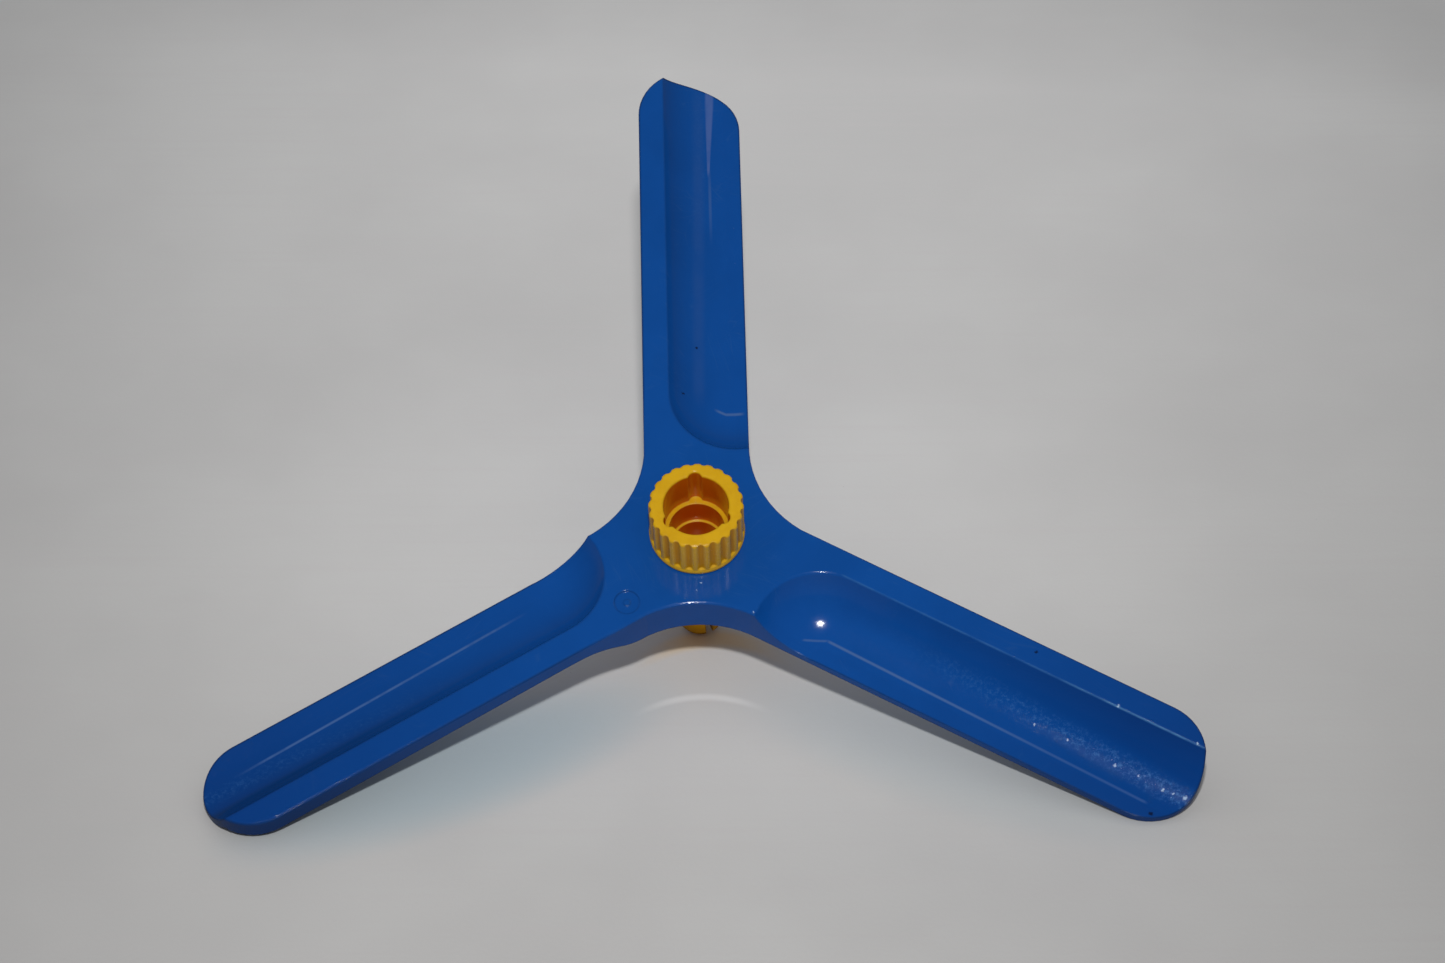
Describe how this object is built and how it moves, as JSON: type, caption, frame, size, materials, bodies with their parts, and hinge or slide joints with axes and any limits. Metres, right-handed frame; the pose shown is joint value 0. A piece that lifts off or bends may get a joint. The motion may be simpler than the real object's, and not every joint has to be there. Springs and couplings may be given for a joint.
{
  "type": "toy propeller",
  "caption": "Three-bladed toy propeller with scooped blades, turning freely on a captive ribbed connector with a stepped socket and a split plug.",
  "frame": {"origin": "on the spin axis, level with the flat front face of the hub and blade strips", "axes": "+Z is the spin axis and points out of the front of the knob; +Y runs along one blade; the plug points along -Z"},
  "size_m": [0.1654, 0.1459, 0.0417],
  "materials": {
    "blue_plastic": "glossy, lightly scuffed",
    "yellow_plastic": "glossy, worn"
  },
  "bodies": {
    "connector": {"connector": "yellow_plastic"},
    "propeller": {"propeller": "blue_plastic"}
  },
  "joints": [
    {"name": "propeller_spin", "type": "hinge", "parent": "connector", "child": "propeller", "pos_m": [0, 0, -0.004], "axis": [0, 0, 1], "continuous": true}
  ]
}
